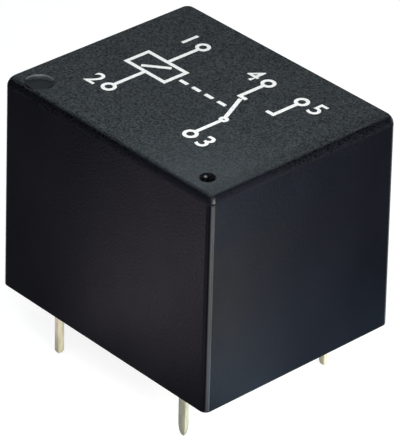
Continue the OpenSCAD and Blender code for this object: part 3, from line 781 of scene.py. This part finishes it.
def draw_pin(x, y, low, pin_form):
    """Draws the selected face down from a height (mm) to a pin of a given form."""
    end, neck, tip_l, turn = pin_form
    draw_on(end + tip_l - low, neck, neck, x, y)
    for start_angle, end_angle in arc_steps(turn, 5):
        drop = tip_l * (math.sin(end_angle) - math.sin(start_angle)) / math.sin(math.radians(turn))
        share = math.cos(end_angle) / math.cos(start_angle)
        draw_on(-drop, share, share, x, y)


def soften(piece, width):
    """Rounds the sharp edges of a stamped piece by a small width (mm)."""
    bpy.ops.object.mode_set(mode="OBJECT")
    bpy.ops.object.modifier_add(type="BEVEL")
    rounding = piece.modifiers[-1]
    rounding.width = width * mm
    rounding.segments = 3
    rounding.limit_method = "ANGLE"
    rounding.angle_limit = math.radians(40)
    bpy.ops.object.modifier_apply(modifier=rounding.name)


def contact_terminal(name, hand, tab_z, pin_form, solid):
    """Models a terminal whose tab lies at a height (mm); hand is -1 for the near row, 1 for the far."""
    turn_r = bend_r + strip_t / 2
    turn_z = tab_z - bend_r
    y = hand * row_y
    strip = start_block(
        name, (strip_x - strip_w / 2, y - strip_t / 2, base_top),
        (strip_x + strip_w / 2, y + strip_t / 2, turn_z),
    )
    pick(strip, "FACE", lambda at, face: face.normal.z > 0.9)
    bpy.ops.mesh.spin(
        steps=8, angle=-hand * math.pi / 2, axis=(1, 0, 0),
        center=(strip_x * mm, hand * (row_y - turn_r) * mm, turn_z * mm),
    )
    bpy.ops.mesh.extrude_region_move(
        TRANSFORM_OT_translate={"value": (0, -hand * (row_y - turn_r + past_middle) * mm, 0)})
    for offset in (-contact_pin_w / 2, contact_pin_w / 2):
        pick(strip, "FACE", lambda at, face: at.z < base_top + 0.01)
        bpy.ops.mesh.bisect(plane_co=((contact_pin_x + offset) * mm, 0, 0), plane_no=(1, 0, 0))
    pick(strip, "FACE", lambda at, face: at.z < base_top + 0.01 and abs(at.x - contact_pin_x) < 0.05)
    draw_pin(contact_pin_x, y, base_top, pin_form)
    soften(strip, stamped_edge)
    settle(strip, "frame", "tinned", solid)
    return strip


make_terminal = contact_terminal("make_terminal", -1, make_tab_z, round_pin, "no_terminal")
rest_terminal = contact_terminal("rest_terminal", 1, rest_tab_z, narrow_pin, "nc_terminal")

# %% [markdown]
# ## Coil pins and common terminal
# The two coil pins are nearly square wires with rounded edges and short blunt tips, pressed through lugs of
# the bobbin. The common terminal is a small plate riveted to the yoke, cut down to a flat pin. Both start
# as a block again, and the block's lower face is drawn down to the tip.

# %% Model the other three pins
coil_pin_x, coil_half_x, coil_half_y, stub_low, stub_top = -6.1, 0.2, 0.25, 1.0, 6.25
blunt_pin = (pin_end + 0.13, 1, 0.25, 60)
wire_edge = 0.12


def coil_pin(name, hand, solid):
    """Models a coil pin from its stub in the bobbin's lug down to its tip."""
    x, y = coil_pin_x, hand * row_y
    wire = start_block(
        name, (x - coil_half_x, y - coil_half_y, stub_low), (x + coil_half_x, y + coil_half_y, stub_top),
    )
    pick(wire, "FACE", lambda at, face: face.normal.z < -0.9)
    draw_pin(x, y, stub_low, blunt_pin)
    soften(wire, wire_edge)
    settle(wire, "frame", "tinned", solid)
    return wire


near_pin = coil_pin("coil_pin_near", -1, "coil_terminal_near")
far_pin = coil_pin("coil_pin_far", 1, "coil_terminal_far")

plate_x, plate_half_t, plate_half_w, plate_top, plate_pin_half = -7.94, 0.2, 1.2, 5.4, 0.45
plate = start_block(
    "common_plate", (plate_x - plate_half_t, -plate_half_w, base_top),
    (plate_x + plate_half_t, plate_half_w, plate_top),
)
for offset in (-plate_pin_half, plate_pin_half):
    pick(plate, "FACE", lambda at, face: at.z < base_top + 0.01)
    bpy.ops.mesh.bisect(plane_co=(0, offset * mm, 0), plane_no=(0, 1, 0))
pick(plate, "FACE", lambda at, face: at.z < base_top + 0.01 and abs(at.y) < 0.05)
draw_pin(plate_x, 0, base_top, round_pin)
soften(plate, stamped_edge)
settle(plate, "frame", "tinned", "common_terminal")

# %% [markdown]
# ## Tin on the pins
# The pins are dipped in tin before they are fitted. Dipped tin is a warm pale grey, half matt, with faint
# runs along the pin and small dull spots. It could be a plain metal, but then it would only mirror the
# white room, so part of it is left to scatter light, as the dull skin of tin does. The pin in front gets a
# darker copy of the tin as painted shade, and the other four a lighter copy as painted light, so one
# function makes both coats from two colours each.

# %% Tin finish
def tin_coat(name, dull, light, pieces):
    """Makes a coat of tin between two colours and gives it to the pieces."""
    tin, shader = start_finish(name, light, 0.42, metallic=0.1, specular=0.4)
    runs = noise(tin, 0.4, stretch=(1, 1, 0.35), detail=3.0)
    spread(tin, runs, shader.inputs["Base Color"], dull, light)
    spread(tin, noise(tin, 0.3), shader.inputs["Roughness"], 0.34, 0.52)
    relief(tin, runs, shader, 0.006)
    for piece in pieces:
        coat(piece, tin)
    print(name, "on", len(pieces), "pieces")
    return tin


# Two copies of one tin: a darker one on the front pin as painted shade, a lighter one on the others as
# painted light.
tin_coat("tin with painted shade", (0.165, 0.168, 0.118), (0.285, 0.285, 0.215), [make_terminal])
lighter_tin_pieces = [rest_terminal, near_pin, far_pin, plate]
lighter_tin = tin_coat("tin with painted light", (0.30, 0.28, 0.185), (0.43, 0.40, 0.29), lighter_tin_pieces)

# %% [markdown]
# ## Sealing resin
# Below, the case is closed with poured resin. It creeps up the walls and up each pin before it sets, so
# its face is a shallow dish with a small collar round every pin. The dish is the block's lower face, drawn
# in and scaled in steps; each collar is a ring drawn out of a disc. The resin is glossy, and slightly wavy.

# %% Pour the resin
resin_half_l, resin_half_w, resin_low, resin_top = 8.84, 6.98, 0.3, 1.0
creep, resin_corner = 0.08, 0.35
resin = start_block(
    "resin_seal", (-resin_half_l, -resin_half_w, resin_low - creep), (resin_half_l, resin_half_w, resin_top),
)
pick(resin, "EDGE", lambda at, edge: abs(edge.verts[0].co.z - edge.verts[1].co.z) > 0.1 * mm)
bpy.ops.mesh.bevel(offset=resin_corner * mm, segments=5, profile=0.5, affect="EDGES")
pick(resin, "FACE", lambda at, face: face.normal.z < -0.9)
for share, lift in ((0.985, 0.05), (0.965, 0.05), (0.93, 0.02)):
    draw_on(lift, share, share)
bpy.ops.object.mode_set(mode="OBJECT")
print("resin dish drawn in", len(resin.data.polygons), "faces")

# %% Add the collars
collar_w, collar_h, collar_z = 0.45, 0.3, resin_low + 0.2
collars = []
for x, y, half_x, half_y in (
    (coil_pin_x, -row_y, coil_half_x, coil_half_y), (coil_pin_x, row_y, coil_half_x, coil_half_y),
    (contact_pin_x, -row_y, contact_pin_w / 2, strip_t / 2),
    (contact_pin_x, row_y, contact_pin_w / 2, strip_t / 2), (plate_x, 0, plate_half_t, plate_pin_half),
):
    bpy.ops.mesh.primitive_cylinder_add(
        vertices=32, radius=1, depth=collar_h * mm, location=(x * mm, y * mm, collar_z * mm),
    )
    collar = bpy.context.object
    collar.scale = ((half_x + collar_w) * mm, (half_y + collar_w) * mm, 1)
    bpy.ops.object.transform_apply()
    bpy.ops.object.mode_set(mode="EDIT")
    pick(collar, "FACE", lambda at, face: face.normal.z < -0.9)
    for share, drop in ((0.82, 0.02), (0.85, 0.05), (0.9, 0.09)):
        draw_on(-drop, share, share, x, y)
    bpy.ops.object.mode_set(mode="OBJECT")
    collars.append(collar)
join_pieces([resin] + collars)
black_resin, shader = start_finish("poured black resin", (0.018, 0.018, 0.02), 0.25, specular=0.4)
wave = noise(black_resin, 2.0)
mottle(black_resin, wave, shader, (0.015, 0.015, 0.017), (0.024, 0.023, 0.024), 0.2, 0.36)
relief(black_resin, wave, shader, 0.03)
coat(resin, black_resin)
settle(resin, "frame", "resin", "sealing_resin")

# %% [markdown]
# ## Coil
# Fine enamelled wire is wound on the bobbin in even layers. Every turn could be a torus, but thousands of
# faces would never be seen. So the coil is a cylinder whose upright edges are subdivided into rings, and
# every second ring is scaled in, which leaves the grooves between the turns. Two short ends of the wire
# run out to the coil pins.

# %% Wind the coil
core_x, winding_r, winding_low, winding_high = -1.53, 4.48, 4.3, 9.622
wire_r, turns, groove, tail_z, tail_sag = 0.08, 33, 0.06, 5.54, 0.06
coil = start_tool("wound_coil", core_x, 0, winding_low, winding_high, winding_r)
pick(coil, "EDGE", lambda at, edge: abs(edge.verts[0].co.z - edge.verts[1].co.z) > 1 * mm)
bpy.ops.mesh.subdivide(number_cuts=2 * turns - 1)
ring_step = (winding_high - winding_low) / (2 * turns)
grooves = pick(coil, "VERT", lambda at, corner: round((at.z - winding_low) / ring_step) % 2 == 0)
share = (winding_r - groove) / winding_r
bpy.ops.transform.resize(value=(share, share, 1), center_override=(core_x * mm, 0, 0))
bpy.ops.object.mode_set(mode="OBJECT")
wires = [coil]
for hand in (-1, 1):
    run = Vector((coil_pin_x - core_x, hand * row_y, 0))
    start = run.normalized() * (winding_r - 0.2) + Vector((core_x, 0, tail_z))
    end = Vector((coil_pin_x, hand * row_y, tail_z)) - run.normalized() * 0.3
    bpy.ops.mesh.primitive_cylinder_add(
        vertices=12, radius=wire_r * mm, depth=(end - start).length * mm, location=(start + end) / 2 * mm,
        rotation=(end - start).to_track_quat("Z", "Y").to_euler(),
    )
    tail = bpy.context.object
    bpy.ops.object.transform_apply()
    bpy.ops.object.mode_set(mode="EDIT")
    pick(tail, "EDGE", lambda at, edge: (edge.verts[0].co - edge.verts[1].co).length > 0.3 * mm)
    bpy.ops.mesh.subdivide(number_cuts=5)
    pick(tail, "VERT", lambda at, corner: (at - (start + end) / 2).length < 0.5)
    bpy.ops.transform.translate(value=(0, 0, -tail_sag * mm))
    bpy.ops.object.mode_set(mode="OBJECT")
    wires.append(tail)
join_pieces(wires)
copper, shader = start_finish("enamelled copper wire", (0.55, 0.22, 0.09), 0.3, metallic=0.9)
tone = noise(copper, 0.9, stretch=(1, 1, 5))
mottle(copper, tone, shader, (0.48, 0.17, 0.06), (0.66, 0.28, 0.12), 0.24, 0.38)
relief(copper, noise(copper, 0.1), shader, 0.003)
coat(coil, copper)
settle(coil, "frame", "copper_wire", "coil_winding")
print("grooves between", turns, "turns:", grooves, "corners moved")

# %% [markdown]
# ## Contact spring
# One bronze leaf is both the return spring and the arm of the moving contact. It starts on the back of the
# yoke, flares out, turns over the armature and runs to the contact. The leaf is drawn and spun along that
# way, as it was bent. A window in the bend leaves two legs, and the tip is narrowed; both are cut with
# tools. When the armature moves, the foot stays on the yoke and the arm goes along; here the leaf is tied
# to no body.

# %% Bend the leaf
leaf_x, leaf_t, leaf_w, foot_z = -7.845, 0.15, 6.0, 5.7
leg_l, flare_r, flare_angle, web_l, turn_r, open_angle = 3.176, 1.5, 30.0, 0.2, 1.3, 3.0
arm_l = 14.664
leg_z = foot_z + leg_l
leaf = start_block(
    "contact_leaf", (leaf_x - leaf_t / 2, -leaf_w / 2, foot_z), (leaf_x + leaf_t / 2, leaf_w / 2, leg_z),
)
pick(leaf, "FACE", lambda at, face: face.normal.z > 0.9)
bpy.ops.mesh.spin(
    steps=6, angle=math.radians(flare_angle), axis=(0, 1, 0),
    center=((leaf_x - flare_r) * mm, 0, leg_z * mm),
)
lie = math.radians(flare_angle)
web = Vector((-math.sin(lie), 0, math.cos(lie)))
web_end = Vector((leaf_x - flare_r * (1 - math.cos(lie)), 0, leg_z + flare_r * math.sin(lie))) + web * web_l
bpy.ops.mesh.extrude_region_move(TRANSFORM_OT_translate={"value": web * web_l * mm})
bpy.ops.mesh.spin(
    steps=16, angle=-math.radians(90 + flare_angle - open_angle), axis=(0, 1, 0),
    center=(web_end + Vector((math.cos(lie), 0, math.sin(lie))) * turn_r) * mm,
)
lift = math.radians(open_angle)
arm_steps = 12
for step in range(arm_steps):
    run = Vector((math.cos(lift), 0, math.sin(lift))) * arm_l / arm_steps
    bpy.ops.mesh.extrude_region_move(TRANSFORM_OT_translate={"value": run * mm})
bpy.ops.object.mode_set(mode="OBJECT")
print("leaf drawn in", len(leaf.data.polygons), "faces")

# %% Cut the leaf's window and narrow its tip
# On the sides not named here, both tools simply reach past the leaf
window_half_w, window_end = 1.1, -6.69
window = start_block("window_tool", (-11, -window_half_w, leg_z), (window_end, window_half_w, 14))
take_out(leaf, window)
taper_start, taper_end, tip_half_w, full_half_w = 2.95, 4.75, 1.6, leaf_w / 2
for hand in (-1, 1):
    low_y, high_y = sorted((hand * tip_half_w, hand * 5.0))
    narrow = start_block("tip_tool", (taper_start, low_y, 5), (9.6, high_y, 14.2))
    pick(narrow, "FACE", lambda at, face: True)
    bpy.ops.mesh.bisect(plane_co=(taper_end * mm, 0, 0), plane_no=(1, 0, 0))
    pick(narrow, "VERT", lambda at, corner: at.x < taper_start + 0.05 and abs(at.y) < tip_half_w + 0.4)
    bpy.ops.transform.translate(value=(0, hand * (full_half_w - tip_half_w) * mm, 0))
    take_out(leaf, narrow)
bronze, shader = start_finish("rolled bronze leaf", (0.62, 0.4, 0.2), 0.3, metallic=1.0)
rolled = noise(bronze, 0.2, stretch=(0.1, 1, 0.1), detail=3.0)
spread(bronze, rolled, shader.inputs["Roughness"], 0.24, 0.4)
spread(bronze, noise(bronze, 1.5), shader.inputs["Base Color"], (0.55, 0.34, 0.16), (0.68, 0.45, 0.24))
relief(bronze, rolled, shader, 0.002)
coat(leaf, bronze)
settle(leaf, None, "spring_bronze", "contact_spring")
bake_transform(leaf)

# %% [markdown]
# ## Finishes of the solids that stay
# The rest of the inside is right as it was drawn, so it only gets its finish: a dull grey base, a pale
# bobbin, plated iron with faint brush lines, silver buttons with a soft haze, and the same tin for the two
# joints of the wire. The case hides them, but the part is shared, and someone will open it.

# %% Finish the solids inside
base_grey, shader = start_finish("dull base plastic", (0.05, 0.05, 0.055), 0.6, specular=0.3)
flow = noise(base_grey, 0.8)
mottle(base_grey, flow, shader, (0.04, 0.04, 0.045), (0.062, 0.062, 0.068), 0.52, 0.68)
relief(base_grey, noise(base_grey, 0.12), shader, 0.006)

nylon, shader = start_finish("pale bobbin plastic", (0.75, 0.73, 0.65), 0.5, specular=0.4)
flow = noise(nylon, 1.5)
mottle(nylon, flow, shader, (0.7, 0.68, 0.6), (0.79, 0.77, 0.7), 0.42, 0.58)
relief(nylon, noise(nylon, 0.2), shader, 0.004)

iron, shader = start_finish("plated iron", (0.52, 0.53, 0.54), 0.35, metallic=1.0)
brushed = noise(iron, 0.3, stretch=(0.12, 1, 1), detail=3.0)
spread(iron, brushed, shader.inputs["Roughness"], 0.28, 0.46)
spread(iron, noise(iron, 2.0), shader.inputs["Base Color"], (0.46, 0.47, 0.48), (0.57, 0.58, 0.59))
relief(iron, brushed, shader, 0.003)

silver, shader = start_finish("contact silver", (0.82, 0.81, 0.78), 0.3, metallic=1.0)
haze = noise(silver, 0.5)
mottle(silver, haze, shader, (0.74, 0.72, 0.67), (0.86, 0.85, 0.83), 0.24, 0.42)
relief(silver, noise(silver, 0.15), shader, 0.003)

finishes = {
    "base": base_grey, "bobbin": nylon, "core": iron, "yoke": iron, "armature": iron, "spring_rivets": iron,
    "armature_rivets": iron, "common_rivet": iron, "moving_contact": silver, "nc_contact": silver,
    "no_contact": silver, "solder_joints": lighter_tin,
}
for name, finish in finishes.items():
    coat(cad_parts[name], finish)
print("finished", len(finishes), "solids")

# %% [markdown]
# ## Sizes
# Dressing a part must not change its size. The box of the solids was kept at the start; here it is printed
# beside the box of the dressed part.

# %% Print the two boxes
dressed_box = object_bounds()
boxes = {
    "solid_box": [list(corner) for corner in solid_box],
    "dressed_box": [list(corner) for corner in dressed_box],
}
for name, (low, high) in boxes.items():
    print(name, [round((b - a) / mm, 3) for a, b in zip(low, high)], "mm")
